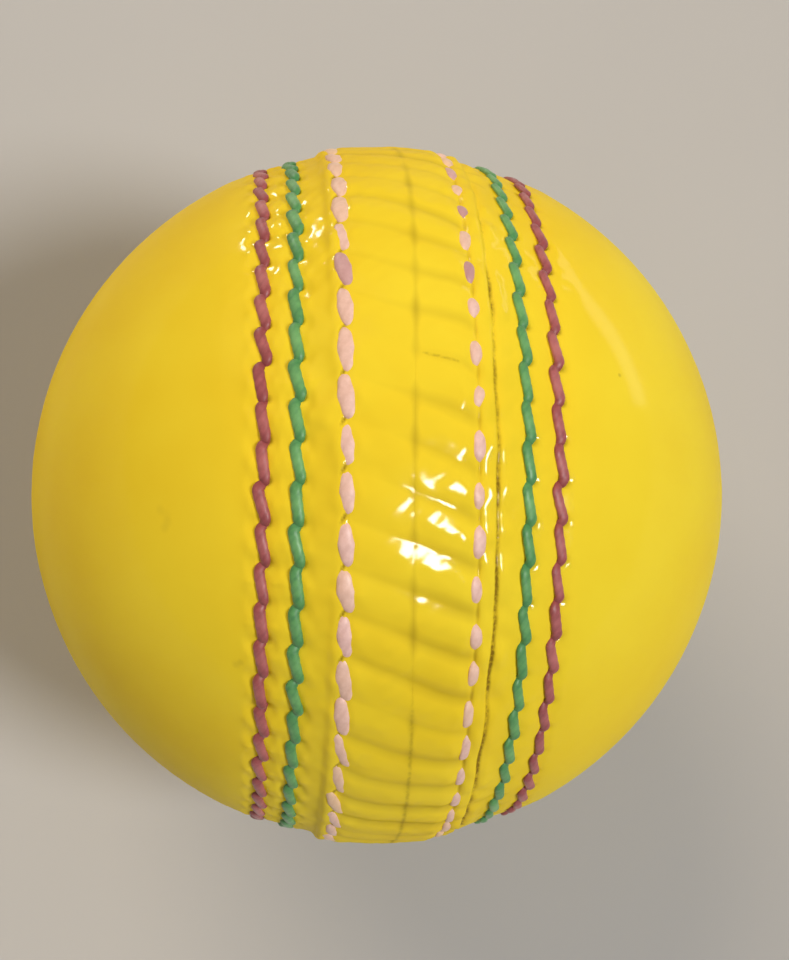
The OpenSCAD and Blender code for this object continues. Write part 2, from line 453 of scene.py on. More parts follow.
@dataclass(frozen=True)
class Crease:
    """The crease beside the band on the right half, between two beaded lips, darkened by painted shade and
    dirt.
    """

    middle: float = 7.22
    wander: float = 0.06
    width: float = 0.2
    depth: float = 0.22
    dirt: float = 1.05
    dirt_swing: float = 0.2
    least: float = 0.25
    usual: float = 0.2
    swing: float = 0.75
    unevenness: float = 0.1
    stretch: float = 3.0
    lip_width: float = 0.7
    lip_height: float = 0.09

    def marks(self, at: Places) -> Changes:
        """What the crease does to the leather.

        Args:
            at: The places.

        Returns:
            The changes in height, in painted shade and grime, and in dirt and painted shade.
        """
        uneven = self.unevenness * WANDER.over(at, self.stretch)
        tightness = np.maximum(self.least, self.usual + self.swing * np.cos(at.angle - DEEPEST) + uneven)
        beyond = at.along - self.middle - self.wander * WANDER.over(at, stretch=0.0)
        crease = tightness * bell(beyond, self.width)
        beads = BEADS.over(at)
        lips = bell(np.abs(beyond) - self.lip_width, self.lip_width)
        height = self.lip_height * lips * beads - self.depth * crease
        # The crease is darkened by painted shade and dirt, which vary with its beads.
        return height, 0.0, crease * tightness * (self.dirt + self.dirt_swing * beads)


@dataclass
class LeatherRelief:
    """The outside of the leather, as a height above the round dome at every place."""

    ball: BallSize
    plan: RowPlan
    parting: PartingLine = PartingLine()
    row_knots: Knots = ((9.9, -0.52), (11.3, -0.3), (12.8, -0.42), (14.1, -0.1), (16.0, 0.0))
    left_knots: Knots = (
        (0.0, 0.3), (4.5, 0.34), (5.05, 0.3), (5.35, 0.18), (5.9, 0.18),
        (6.2, 0.28), (6.75, 0.24), (7.1, -0.22), (8.6, -0.34),
    )
    eased_knots: Knots = ((0.0, 0.3), (4.5, 0.34), (5.05, 0.3), (5.4, 0.2), (6.4, 0.2), (9.0, -0.42))
    right_knots: Knots = (
        (0.0, 0.3), (4.2, 0.34), (4.8, 0.22), (5.5, -0.06), (6.2, 0.08), (6.95, 0.0), (7.3, -0.3),
        (7.9, -0.2), (8.9, -0.37), (10.1, -0.49), (11.5, -0.38), (13.0, -0.41), (14.3, -0.12), (16.0, 0.0),
    )
    grid_ends: Span = (-2.0, 20.0)
    grid_step: float = 0.02
    softness: float = 0.24
    soft_reach: float = 1.2
    ease_reach: float = math.radians(44.0)
    bulge_at: Span = (math.radians(92.3), -7.7)
    bulge_height: float = 0.2
    bulge_width: float = 1.3
    seam_edge: Span = (13.0, 17.0)
    band_edge: Span = (4.5, 6.0)
    band_tautness: float = 0.5
    wobble: float = 0.04
    dome_wobble: float = 0.012
    lacquer_wobble: float = 0.012

    def __post_init__(self) -> None:
        """Rounds the knots off into smooth profiles and lays out the marks of the seam."""
        self.grid = np.arange(*self.grid_ends, self.grid_step)
        self.eased = self.rounded(self.eased_knots + self.row_knots)
        left = self.rounded(self.left_knots + self.row_knots)
        self.profiles = {Side.LEFT: left, Side.RIGHT: self.rounded(self.right_knots)}
        self.folds = BandFolds(self.plan)
        self.edges = {Side.LEFT: BeadedLip(), Side.RIGHT: Crease()}
        self.rows = {side: self.plan.rows(side) for side in Side}

    def rounded(self, knots: Knots) -> Array:
        """Rounds a profile off.

        Args:
            knots: Distances from the parting plane with the heights there.

        Returns:
            The rounded heights along the grid.
        """
        spread = np.arange(-self.soft_reach, self.soft_reach + self.grid_step / 2, self.grid_step)
        kernel = bell(spread, self.softness)
        kernel /= kernel.sum()
        raw = np.interp(np.abs(self.grid), *zip(*knots))
        padded = np.pad(raw, len(spread) // 2, mode="edge")
        return np.convolve(padded, kernel, mode="valid")

    def base(self, at: Places) -> Array:
        """The smooth profile's height. The left edge of the band is eased where the leather lies smoothest.

        Args:
            at: The places.

        Returns:
            Heights above the dome.
        """
        height = np.interp(at.along, self.grid, self.profiles[at.side])
        if at.side is Side.LEFT:
            eased = np.interp(at.along, self.grid, self.eased)
            height += (eased - height) * bell(at.angle - SMOOTHEST, self.ease_reach)
        return height

    def bulge(self, at: Places) -> Array:
        """The puffed spot beside the left middle row, from 0 to 1."""
        aside = (at.angle - self.bulge_at[0]) * self.ball.dome_r
        return bell(np.square(aside) + np.square(at.x - self.bulge_at[1]), self.bulge_width**2)

    def wobbles(self, at: Places) -> Array:
        """The soft unevenness of the leather and its lacquer, most of it near the seam.

        Args:
            at: The places.

        Returns:
            Changes in height.
        """
        near_seam = 1.0 - ramp(at.along, self.seam_edge)
        slack = 1.0 - self.band_tautness * (1.0 - ramp(at.along, self.band_edge))
        leather = self.wobble * slack * WAVES.over(at)
        lacquer = self.lacquer_wobble * LACQUER_RUNS.over(at)
        return near_seam * (leather + lacquer) + self.dome_wobble * SWELLS.over(at)

    def surface(self, at: Places) -> Changes:
        """The finished leather.

        Args:
            at: The places.

        Returns:
            Heights above the dome, the painted shade and grime in folds and slits, and the dirt and painted
            shade in cracks and the crease, both from 0 to 1.
        """
        plain = self.base(at) + self.wobbles(at) + self.bulge_height * self.bulge(at)
        marked = self.folds, self.parting, self.edges[at.side], *self.rows[at.side]
        layers = [(plain, 0.0, 0.0), *(feature.marks(at) for feature in marked)]
        height, grime, dirt = (sum(changes) for changes in zip(*layers))
        return height, np.clip(grime, 0.0, 1.0), np.clip(dirt, 0.0, 1.0)

    def place(self, angle: Array, x: Array, lift: Array) -> Array:
        """Points above or below the smooth profile of the leather.

        Args:
            angle: Angles around the seam axis.
            x: Distances from the parting plane.
            lift: Heights above the profile.

        Returns:
            Points in millimetres.
        """
        left, right = (self.base(Places(side, angle, np.abs(x))) for side in Side)
        return ball_points(angle, x, self.ball.dome_r, np.where(x < 0, left, right) + lift)

    def slope(self, points: Array) -> Array:
        """The way out of the smooth profile above or below some points.

        Args:
            points: Points in millimetres.

        Returns:
            One unit vector for each point.
        """
        angle = np.arctan2(points[:, 2], points[:, 1])
        flat = np.zeros(len(points))
        right = self.place(angle, points[:, 0] + self.softness, flat)
        left = self.place(angle, points[:, 0] - self.softness, flat)
        outward = np.cross(right - left, spin(angle + TAU / 4))
        return outward / np.linalg.norm(outward, axis=1)[:, None]


def linked(name: str, data: bpy.types.ID) -> Piece:
    """Makes an object and links it to the scene.

    Args:
        name: The object's name.
        data: Its mesh, light or camera.

    Returns:
        The object.
    """
    made = bpy.data.objects.new(name, data)
    bpy.context.scene.collection.objects.link(made)
    return made


class MeshSheet:
    """Collects the rings of a mesh and makes an object of them."""

    def __init__(self, *marks: str) -> None:
        """Starts with no rings.

        Args:
            marks: The names under which the points keep values for their finish.
        """
        self.points: list[Array] = []
        self.marks: dict[str, list[Array]] = {name: [] for name in marks}
        self.faces: list[tuple[int, ...]] = []
        self.sharp: list[range] = []
        self.total = 0

    def ring(self, points: Array, **marks: Array | float) -> range:
        """Adds a ring of points.

        Args:
            points: The ring's points, in millimetres.
            marks: The points' values by name, zero where none are given.

        Returns:
            The points' numbers.
        """
        self.points.append(points)
        for name, kept in self.marks.items():
            kept.append(np.broadcast_to(marks.get(name, 0.0), len(points)))
        first = self.total
        self.total += len(points)
        return range(first, self.total)

    def bridge(self, ring: range, following: range) -> None:
        """Joins two closed rings with faces.

        Args:
            ring: A ring of any number of points.
            following: A ring of as many points, of half as many, or of one.
        """
        n, m = len(ring), len(following)
        for i in range(m if m > 1 else n):
            if m == 1:
                self.faces.append((ring[i], ring[(i + 1) % n], following[0]))
            elif n == m:
                j = (i + 1) % n
                self.faces.append((ring[i], ring[j], following[j], following[i]))
            else:
                a, b, c = ring[2 * i], ring[2 * i + 1], ring[(2 * i + 2) % n]
                near, far = following[i], following[(i + 1) % m]
                self.faces.extend([(a, b, near), (b, far, near), (b, c, far)])

    def join(self, rings: list[range]) -> None:
        """Joins each ring with the next."""
        for ring, following in zip(rings, rings[1:]):
            self.bridge(ring, following)

    def flip(self, first: int = 0) -> None:
        """Turns the faces over, from a given one on."""
        self.faces[first:] = [face[::-1] for face in self.faces[first:]]

    def piece(self, name: str, material: Material) -> Piece:
        """Makes a smooth object.

        Args:
            name: The piece's name.
            material: Its finish.

        Returns:
            The object, linked to the scene.
        """
        mesh = bpy.data.meshes.new(name)
        mesh.from_pydata((np.concatenate(self.points) * MM).tolist(), [], self.faces)
        for mark, kept in self.marks.items():
            values = mesh.attributes.new(mark, "FLOAT", "POINT")
            values.data.foreach_set("value", np.concatenate(kept).astype(np.float32))
        mesh.shade_smooth()
        self.sharpen(mesh)
        mesh.materials.append(material)
        return linked(name, mesh)

    def sharpen(self, mesh: bpy.types.Mesh) -> None:
        """Keeps the edges along the sharp rings from being shaded round.

        Args:
            mesh: The finished mesh.
        """
        ends = np.empty(2 * len(mesh.edges), dtype=np.int32)
        mesh.edges.foreach_get("vertices", ends)
        ends = ends.reshape(-1, 2)
        crisp = np.zeros(len(ends), dtype=bool)
        for ring in self.sharp:
            crisp |= ((ends >= ring.start) & (ends < ring.stop)).all(axis=1)
        edges = mesh.attributes.new("sharp_edge", "BOOLEAN", "EDGE")
        edges.data.foreach_set("value", crisp)


def settle(piece: Piece, slot: Slot, node: str) -> None:
    """Gives a finished piece its body, and hides the node that it stands for.

    Args:
        piece: The piece.
        slot: The material slot; not used.
        node: The node's name.
    """
    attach(piece, BODY)
    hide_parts(node)
    LOG.info("%s: %d faces, for %s", piece.name, len(piece.data.polygons), node)


@dataclass
class LeatherHalf:
    """One half of the leather cover: a closed shell with the relief outside and a plain seat inside."""

    side: Side
    relief: LeatherRelief
    fine_points: int = 1080
    dome_step: float = math.radians(2.6)
    finer_dome_rings: int = 3
    seat_step: float = math.radians(7.5)
    rim_drop: float = 1.6
    # How far each stretch of the seam reaches, and how far apart its rings lie.
    stretches: ClassVar[dict[Side, Knots]] = {
        Side.LEFT: (
            (0.6, 0.1), (5.0, 0.27), (5.4, 0.12), (5.9, 0.08), (7.4, 0.16), (14.6, 0.21), (16.4, 0.45),
        ),
        Side.RIGHT: (
            (0.6, 0.1), (4.9, 0.29), (5.35, 0.13), (5.85, 0.08), (6.75, 0.17), (7.65, 0.065), (14.6, 0.25),
            (16.4, 0.45),
        ),
    }

    def fine_rings(self) -> list[float]:
        """Where the rings of the seam lie.

        Returns:
            Distances from the parting plane.
        """
        places = [self.relief.ball.half_parting]
        for end, spacing in self.stretches[self.side]:
            count = max(1, round((end - places[-1]) / spacing))
            places.extend(np.linspace(places[-1], end, count + 1)[1:])
        return places

    def outside_ring(self, sheet: MeshSheet, along: float, points: int) -> range:
        """Adds a ring of the outside to a sheet.

        Args:
            sheet: The sheet.
            along: The ring's distance from the parting line.
            points: How many points it has.

        Returns:
            The points' numbers.
        """
        angle = np.arange(points) * TAU / points
        fade = 1.0 - ramp(along, (0.0, self.relief.parting.reach))
        stray = self.side.value * fade * self.relief.parting.stray(angle)
        at = Places(self.side, angle, along + stray)
        # The points keep the painted shade and grime, and the dirt and painted shade, for the leather's
        # finish.
        height, grime, dirt = self.relief.surface(at)
        return sheet.ring(ball_points(angle, at.x, self.relief.ball.dome_r, height), grime=grime, dirt=dirt)

    def plain_ring(self, sheet: MeshSheet, along: float, radius: float, points: int) -> range:
        """Adds a plain ring on a sphere, or a pole of one point, and returns its points' numbers."""
        angle, x = np.arange(points) * TAU / points, np.full(points, self.side.value * along)
        return sheet.ring(ball_points(angle, x, radius, np.zeros(points)))

    def build(self, material: Material) -> None:
        """Models the half.

        Args:
            material: The leather's finish.
        """
        dome_r = self.relief.ball.dome_r
        sheet = MeshSheet("grime", "dirt")
        fine = self.fine_rings()
        rings = [self.outside_ring(sheet, along, self.fine_points) for along in fine]
        points = self.fine_points // 2
        first = math.asin(fine[-1] / dome_r) + self.dome_step / 2
        for count, rise in enumerate(np.arange(first, TAU / 4 - self.dome_step / 2, self.dome_step)):
            if count == self.finer_dome_rings:
                points //= 2
            rings.append(self.outside_ring(sheet, dome_r * math.sin(rise), points))
        rings.append(self.plain_ring(sheet, dome_r, dome_r, 1))
        sheet.join(rings)
        self.line_seat(sheet, rings[0], points)
        if self.side is Side.LEFT:
            sheet.flip()
        piece = sheet.piece(f"{self.side.word}_leather_half", material)
        settle(piece, Slot.LEATHER, f"{self.side.word}_cover")

    def line_seat(self, sheet: MeshSheet, rim: range, points: int) -> None:
        """Closes the shell with its rim, the recess for the lining strip and the seat of the core.

        Args:
            sheet: The sheet that holds the outside.
            rim: The outside's first ring.
            points: How many points the inside's rings have.
        """
        ball = self.relief.ball
        sheet.sharp.append(rim)
        places = [
            (ball.half_parting, ball.recess_r + self.rim_drop, len(rim) // 2),
            (ball.half_parting, ball.recess_r, points),
            (ball.recess_end / 2, ball.recess_r, points),
            (ball.recess_end, ball.recess_r, points),
            (ball.recess_end, ball.seat_r, points),
        ]
        start = math.asin(ball.recess_end / ball.seat_r) + self.seat_step
        for rise in np.arange(start, TAU / 4 - self.seat_step / 2, self.seat_step):
            places.append((ball.seat_r * math.sin(rise), ball.seat_r, points))
        places.append((ball.seat_r, ball.seat_r, 1))
        before = len(sheet.faces)
        sheet.join([rim, *(self.plain_ring(sheet, *place) for place in places)])
        sheet.flip(before)


@dataclass
class TwistedThread:
    """A closed, twisted thread of three plies, swept along a route.

    A route is a list of steps, each with an angle, a distance from the parting plane, a lift above the
    smooth profile of the leather, a thickness and a tint.
    """

    relief: LeatherRelief
    sides: int = 15
    plies: int = 3
    ply_depth: float = 0.035
    lay: float = 2.6
    spacing: float = 0.16
    slack: float = 0.13
    flatness: float = 0.6

    def settled(self, route: list[Step]) -> tuple[Array, Array, Array]:
        """Lays the thread along its route, evenly and with soft bends.

        Args:
            route: The thread's way around the ball, which closes on itself.

        Returns:
            The points of its middle line, and its thickness and tint at each.
        """
        steps = np.array(route + route[:1])
        corners = self.relief.place(steps[:, 0], steps[:, 1], steps[:, 2])
        run = np.concatenate([[0.0], np.cumsum(np.linalg.norm(np.diff(corners, axis=0), axis=1))])
        count = int(run[-1] / self.spacing)
        at = np.arange(count) * run[-1] / count
        raw = np.stack([np.interp(at, run, line) for line in (*corners.T, *steps[:, 3:].T)])
        frequency = np.fft.rfftfreq(count, run[-1] / count)
        soften = np.exp(-2.0 * np.square(math.pi * self.slack * frequency))
        smooth = np.fft.irfft(np.fft.rfft(raw) * soften, count)
        return smooth[:3].T, smooth[3], smooth[4]

    def frames(self, line: Array) -> tuple[Array, Array]:
        """Two directions across the thread at each point, which turn as little as they can.

        Args:
            line: The thread's middle line.

        Returns:
            The two directions, at right angles to the line and to each other.
        """
        along = np.roll(line, -1, axis=0) - np.roll(line, 1, axis=0)
        along /= np.linalg.norm(along, axis=1)[:, None]
        first = np.zeros_like(line)
        across = np.cross(along[0], line[0])
        for i, tangent in enumerate(along):
            across = across - tangent * (across @ tangent)
            across = across / math.sqrt(across @ across)
            first[i] = across
        return first, np.cross(along, first)

    def build(self, node: str, route: list[Step], slot: Slot, material: Material) -> None:
        """Sweeps the thread.

        Args:
            node: The node that the thread stands for.
            route: The thread's way around the ball.
            slot: The record's material slot that goes with it.
            material: Its finish.
        """
        line, thick, tint = self.settled(route)
        first, second = self.frames(line)
        outward = self.relief.slope(line)
        turns = round(len(line) * self.spacing / self.lay)
        twist = np.arange(len(line)) * TAU * turns / len(line)
        around = np.arange(self.sides) * TAU / self.sides
        cosine, sine = np.cos(around)[:, None], np.sin(around)[:, None]
        sheet = MeshSheet("groove", "tint")
        rings = []
        for i, middle in enumerate(line):
            ply = np.cos(self.plies * (around - twist[i]))
            radius = 0.5 * thick[i] * (1.0 + self.ply_depth * ply)
            reach = radius[:, None] * (cosine * first[i] + sine * second[i])
            reach -= (1.0 - self.flatness) * (reach @ outward[i])[:, None] * outward[i]
            rings.append(sheet.ring(middle + reach, groove=0.5 - 0.5 * ply, tint=tint[i]))
        sheet.join([*rings, rings[0]])
        settle(sheet.piece(node.replace("thread", "stitching"), material), slot, node)


@dataclass
class LockStitchRow:
    """A machine-sewn row: grains that lean outside, and loops around the bobbin thread inside."""

    row: SewnRow
    lean: float = 0.25
    lean_spread: float = 0.2
    proud: float = 0.15
    proud_spread: float = 0.03
    width_spread: float = 0.04
    neck: float = 0.7
    leg: float = 0.42
    leg_apart: float = 0.24
    loop_depth: float = 3.85
    loop_height: float = 0.65
    leather_depth: float = 1.6
    unevenness: float = 0.05
    tint_spread: float = 0.14
    # How far painted shade darkens the stitches' ends and a painted highlight lightens their middles.
    painted_shading: float = 0.85
    widths: ClassVar[dict[Side, float]] = {Side.LEFT: 1.02, Side.RIGHT: 0.94}

    def stitch(self, slit: int, draw: np.random.Generator) -> list[Step]:
        """One stitch, from a slit to the next, and the loop below that next slit.

        Args:
            slit: The number of the slit that the stitch starts from.
            draw: Where the stitch's unevenness comes from.

        Returns:
            The steps of the thread's way.
        """
        side = self.row.side
        pitch = self.row.step * self.row.ring_r
        middle = side.value * self.row.along + draw.normal(0.0, self.unevenness)
        lean = self.lean * (1.0 + draw.normal(0.0, self.lean_spread))
        width = self.widths[side] * (1.0 + draw.normal(0.0, self.width_spread))
        proud = self.proud + draw.normal(0.0, self.proud_spread)
        tint = draw.normal(0.0, self.tint_spread)
        below = side.value * self.row.bobbin_along
        loop, bend = -self.loop_depth, self.loop_height - self.loop_depth
        # The way along the row, the place across it, the lift, the thickness and how much painted shade it
        # gets there.
        # The ends, where the thread dives into the slits, get painted shade, and the middle gets a painted
        # highlight.
        plan = (
            (-0.16, middle + 0.08, -0.55, self.neck, 1.0),
            (0.08, middle - 0.3 * lean, -0.08, 0.9 * width, 0.9),
            (0.5, middle - lean, 0.85 * proud, width, 0.05),
            (0.5 * pitch, middle - 0.05 * lean, proud, width, -0.55),
            (pitch - 0.55, middle + lean, 0.8 * proud, 0.98 * width, 0.15),
            (pitch - 0.12, middle + 0.35 * lean, -0.13, 0.87 * width, 1.0),
            (pitch + 0.14, middle - 0.08, -0.58, self.neck, 1.0),
            (pitch + self.leg_apart, below, -self.leather_depth, self.leg, 0.0),
            (pitch + self.leg_apart - 0.02, below, bend, self.leg, 0.0),
            (pitch, below, loop, self.leg, 0.0),
            (pitch - self.leg_apart + 0.02, below, bend, self.leg, 0.0),
            (pitch - self.leg_apart, below, -self.leather_depth, self.leg, 0.0),
        )
        start = slit * self.row.step
        return [
            (start + along_row / self.row.ring_r, x, lift, thickness, tint - self.painted_shading * dark)
            for along_row, x, lift, thickness, dark in plan
        ]

    def route(self) -> list[Step]:
        """The thread's whole way around the ball."""
        draw = np.random.default_rng(self.row.seed)
        return [step for slit in range(self.row.stitches) for step in self.stitch(slit, draw)]


@dataclass(frozen=True)
class ClosingStitch:
    """The usual shape of a closing stitch on one half, and what changes towards the seam's lower end."""

    middle: float
    lean: Span
    low_lean: float
    width: float
    proud: float
    inset: float
    low_inset: float
    taper: float
    shoulder: float
    dip: float


@dataclass
class ClosingThread:
    """One of the two hand-sewn threads that close the ball, showing on the halves by turns."""

    order: int
    plan: RowPlan
    seed: int = 61
    depth: float = 1.05
    depth_step: float = 0.58
    leg: float = 0.5
    leg_offset: float = 0.3
    leg_shares: tuple[float, ...] = (-1.0, -0.5, 0.0, 0.5, 1.0)
    end_sink: float = -0.6
    end_width: float = 0.34
    start_spread: float = 0.12
    middle_spread: float = 0.07
    width_spread: float = 0.06
    proud_spread: float = 0.02
    inset_spread: float = 0.1
    low_narrowing: float = 0.25
    least_smeared: float = math.radians(100.0)
    smear_reach: float = math.radians(55.0)
    # The tints drawn for smeared stitches, towards the lacquer smear, and for stained ones, towards the
    # stain.
    smear: Span = (0.0, 0.15)
    end_smear: Span = (0.1, 0.4)
    stain: Span = (0.35, 0.7)
    stained: ClassVar[dict[Side, tuple[int, ...]]] = {Side.LEFT: (10, 44), Side.RIGHT: (6, 8, 10, 31)}
    shapes: ClassVar[dict[Side, ClosingStitch]] = {
        Side.LEFT: ClosingStitch(
            middle=-5.63, lean=(0.12, 0.6), low_lean=0.25, width=1.58, proud=-0.05,
            inset=0.0, low_inset=-0.2, taper=0.36, shoulder=0.7, dip=0.22,
        ),
        Side.RIGHT: ClosingStitch(
            middle=5.5, lean=(-0.1, 0.1), low_lean=0.0, width=1.15, proud=0.06,
            inset=0.95, low_inset=-0.48, taper=0.7, shoulder=0.97, dip=0.32,
        ),
    }

    def stitch(self, slit: int, side: Side, draw: np.random.Generator) -> list[Step]:
        """One stitch on a half, from a slit to the next.

        Args:
            slit: The number of the slit that the stitch starts from.
            side: The half that the stitch shows on.
            draw: Where the stitch's unevenness comes from.

        Returns:
            The steps of the thread's way.
        """
        shape = self.shapes[side]
        row = self.plan.rows(side)[0]
        pitch = row.step * row.ring_r
        start = slit * row.step + draw.normal(0.0, self.start_spread) / row.ring_r
        middle = shape.middle + draw.normal(0.0, self.middle_spread)
        low = low_end(start)
        lean = draw.uniform(*shape.lean) + shape.low_lean * low
        width = shape.width * (1.0 - self.low_narrowing * low) * (1.0 + draw.normal(0.0, self.width_spread))
        proud = shape.proud + draw.normal(0.0, self.proud_spread)
        inset = shape.inset + shape.low_inset * low + draw.normal(0.0, self.inset_spread)
        smeared = 1.0 - bell(start - self.least_smeared, self.smear_reach)
        tint = -(draw.uniform(*self.smear) + draw.uniform(*self.end_smear) * smeared)
        if slit in self.stained[side]:
            tint = draw.uniform(*self.stain)
        # The way along the row, the place across it, the lift and the thickness, as far as the middle.
        half = (
            (inset - 0.25, -lean, self.end_sink, self.end_width),
            (inset + 0.1, -0.9 * lean, proud - shape.dip, shape.taper * width),
            (inset + 0.6, -0.5 * lean, proud - 0.05, shape.shoulder * width),
        )
        mirrored = [(pitch - along_row, -across, *rest) for along_row, across, *rest in half[::-1]]
        return [
            (start + along_row / row.ring_r, middle + across, lift, thickness, tint)
            for along_row, across, lift, thickness in (*half, (pitch / 2, 0.0, proud, width), *mirrored)
        ]

    def crossing(self, slit: int, towards: Side) -> list[Step]:
        """The leg that runs through a slit, below the band, to the other half.

        Args:
            slit: The slit's number.
            towards: The half that the leg comes out on.

        Returns:
            The steps of the thread's way.
        """
        angle = slit * TAU / self.plan.closing_stitches
        lift = -self.depth - self.order * self.depth_step
        turn = self.leg_offset / self.plan.ball_r
        reach = towards.value * (self.plan.closing - self.leg_offset)
        return [(angle - share * turn, share * reach, lift, self.leg, 0.0) for share in self.leg_shares]

    def route(self) -> list[Step]:
        """The thread's whole way: a stitch on one half, a leg to the other half, and so on around the ball.

        Returns:
            The steps.
        """
        draw = np.random.default_rng(self.seed + self.order)
        steps = []
        for slit in range(self.plan.closing_stitches):
            side = Side.RIGHT if (slit + self.order) % 2 else Side.LEFT
            steps += self.stitch(slit, side, draw) + self.crossing(slit + 1, Side(-side.value))
        return steps


class NodeBench:
    """Adds and joins the nodes of one material."""

    def __init__(self, name: str) -> None:
        """Starts a material with a plain shader.

        Args:
            name: The material's name.
        """
        self.material = bpy.data.materials.new(name)
        self.material.use_nodes = True
        self.tree = self.material.node_tree
        self.shader = self.tree.nodes["Principled BSDF"]
        self.where = self.add("ShaderNodeTexCoord").outputs["Object"]

    def add(self, kind: str, inputs: dict | None = None, **settings: object) -> bpy.types.Node:
        """Adds a node.

        Args:
            kind: The node's type.
            inputs: Values or sockets for its inputs, by name or number.
            settings: The node's own properties.

        Returns:
            The node.
        """
        node = self.tree.nodes.new(kind)
        for name, value in settings.items():
            setattr(node, name, value)
        self.feed(node, inputs or {})
        return node

    def feed(self, node: bpy.types.Node, inputs: dict) -> None:
        """Sets a node's inputs to values or joins them to sockets.

        Args:
            node: The node.
            inputs: Values or sockets, by the inputs' names or numbers.
        """
        for name, value in inputs.items():
            if isinstance(value, Socket):
                self.tree.links.new(value, node.inputs[name])
            else:
                node.inputs[name].default_value = value

    def noise(self, per_metre: float, detail: float = 2.0) -> Socket:
        """A noise pattern with so many features to the metre."""
        inputs = {"Vector": self.where, "Scale": per_metre, "Detail": detail}
        return self.add("ShaderNodeTexNoise", inputs).outputs["Fac"]

    def cells(self, per_metre: float, output: str = "Distance") -> Socket:
        """A pattern of cells with so many to the metre."""
        inputs = {"Vector": self.where, "Scale": per_metre}
        return self.add("ShaderNodeTexVoronoi", inputs).outputs[output]

    def mark(self, name: str) -> Socket:
        """The values that a mesh keeps for its points under a name."""
        return self.add("ShaderNodeAttribute", attribute_name=name).outputs["Fac"]

    def distance(self, place: Vector) -> Socket:
        """The distance from a place, in metres."""
        inputs = {0: self.where, 1: place}
        return self.add("ShaderNodeVectorMath", inputs, operation="DISTANCE").outputs["Value"]

    def fit(self, value: Socket, ends: Span, low: float, high: float) -> Socket:
        """Maps a value from the range between two ends to the range from low to high."""
        inputs = {"Value": value, "From Min": ends[0], "From Max": ends[1], "To Min": low, "To Max": high}
        return self.add("ShaderNodeMapRange", inputs).outputs["Result"]

    def blotches(
        self, per_metre: float, low: float, high: float, detail: float = 2.0, ends: Span = (0.3, 0.7)
    ) -> Socket:
        """A noise pattern that is spread out between low and high."""
        return self.fit(self.noise(per_metre, detail), ends, low, high)

    def product(self, first: Socket, second: Socket) -> Socket:
        """Multiplies two values."""
        return self.add("ShaderNodeMath", {0: first, 1: second}, operation="MULTIPLY").outputs[0]

    def mix(self, share: Socket, first: Colour | Socket, second: Colour | Socket) -> Socket:
        """Mixes two colours.

        Args:
            share: How much of the second colour shows.
            first: A colour or its socket.
            second: A colour or its socket.

        Returns:
            The mixed colour's socket.
        """
        ends = [c if isinstance(c, Socket) else (*c, 1.0) for c in (first, second)]
        inputs = {0: share, 6: ends[0], 7: ends[1]}
        return self.add("ShaderNodeMix", inputs, data_type="RGBA").outputs[2]

    def bump(self, height: Socket, strength: float, depth: float) -> Socket:
        """Turns a height into a bumped normal of a given depth in millimetres."""
        inputs = {"Height": height, "Strength": strength, "Distance": depth * MM}
        return self.add("ShaderNodeBump", inputs).outputs["Normal"]

    def finished(self, colour: Socket, roughness: Socket, more: dict) -> Material:
        """Feeds the shader, and returns the material."""
        self.feed(self.shader, {"Base Color": colour, "Roughness": roughness, **more})
        return self.material


@dataclass(frozen=True)
class Blemish:
    """A small dark spot in the lacquer: its angle in degrees, its x, its radius and how dark it is."""

    angle: float
    x: float
    radius: float
    dark: float
    core: float = 0.3

    def share(self, bench: NodeBench, dome_r: float) -> Socket:
        """How much of the spot shows.

        Args:
            bench: The nodes of the leather's finish.
            dome_r: The radius of the dome that the spot lies on.

        Returns:
            The share's socket.
        """
        angle, x = np.array([math.radians(self.angle)]), np.array([self.x])
        middle = Vector(ball_points(angle, x, dome_r, np.zeros(1))[0]) * MM
        radius = self.radius * MM
        return bench.fit(bench.distance(middle), (self.core * radius, radius), low=self.dark, high=0.0)


